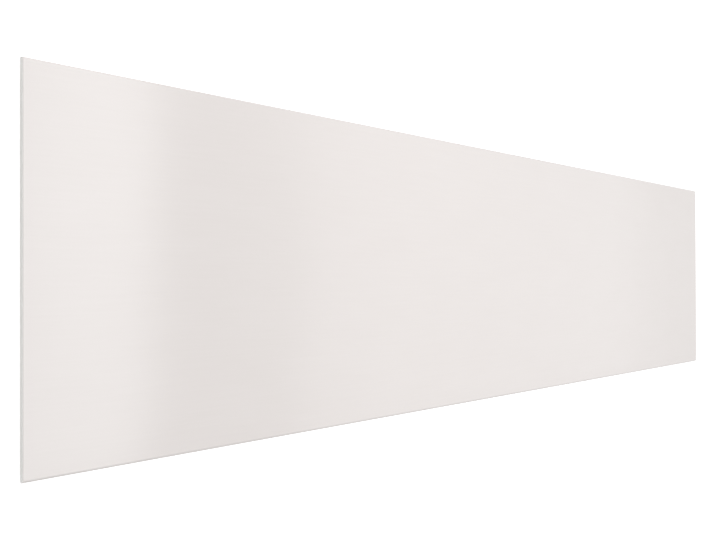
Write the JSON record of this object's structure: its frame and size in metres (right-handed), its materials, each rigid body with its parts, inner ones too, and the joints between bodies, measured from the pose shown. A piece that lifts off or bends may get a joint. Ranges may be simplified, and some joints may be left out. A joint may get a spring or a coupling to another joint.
{
  "type": "drywall sheet",
  "caption": "Long flat gypsum board with a white satin face, tapered and eased long edges and square-sawn ends, for lining walls and ceilings.",
  "frame": {"origin": "centre of the back of the sheet, on the floor that it lies on", "axes": "+X along the length, towards the end that is farther away in the picture; +Y across the width, towards the long edge that is uppermost in the picture; +Z out of the finished face, up"},
  "size_m": [4.8768, 1.2192, 0.0159],
  "materials": {
    "white_board": "satin"
  },
  "bodies": {
    "root": {"drywall_sheet": "white_board"}
  },
  "joints": []
}
